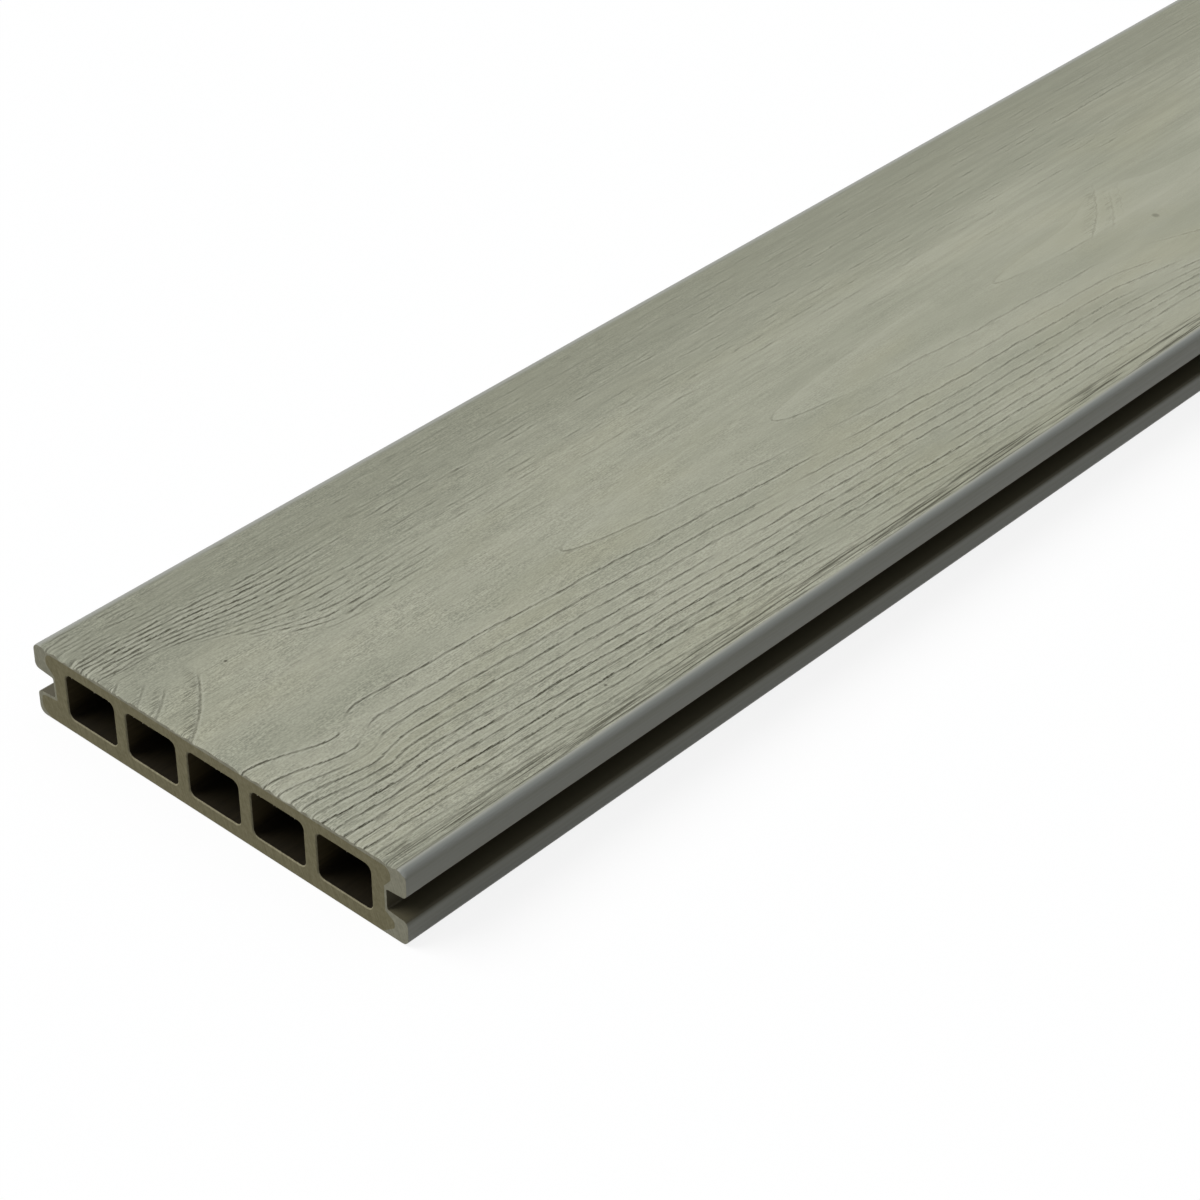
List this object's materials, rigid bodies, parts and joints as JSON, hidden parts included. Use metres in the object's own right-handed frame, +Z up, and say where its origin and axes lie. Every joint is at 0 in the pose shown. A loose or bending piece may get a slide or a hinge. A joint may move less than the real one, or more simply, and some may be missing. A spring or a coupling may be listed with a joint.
{
  "type": "decking board",
  "caption": "Hollow wood-plastic decking board with rounded chambers right through, clip grooves along both sides and a wood-grain cap over a darker core.",
  "frame": {"origin": "under the middle of the board, on the plane that its underside rests on", "axes": "+X across the board, +Y along it away from the cut end that the picture shows, +Z up out of the grained face"},
  "size_m": [0.138, 2.2, 0.023],
  "materials": {
    "core": "sawn wood-plastic composite, olive brown, matt",
    "cap": "embossed wood grain, grey green, satin"
  },
  "bodies": {
    "root": {"hollow_core": "core", "cap_layer": "cap"}
  },
  "joints": []
}
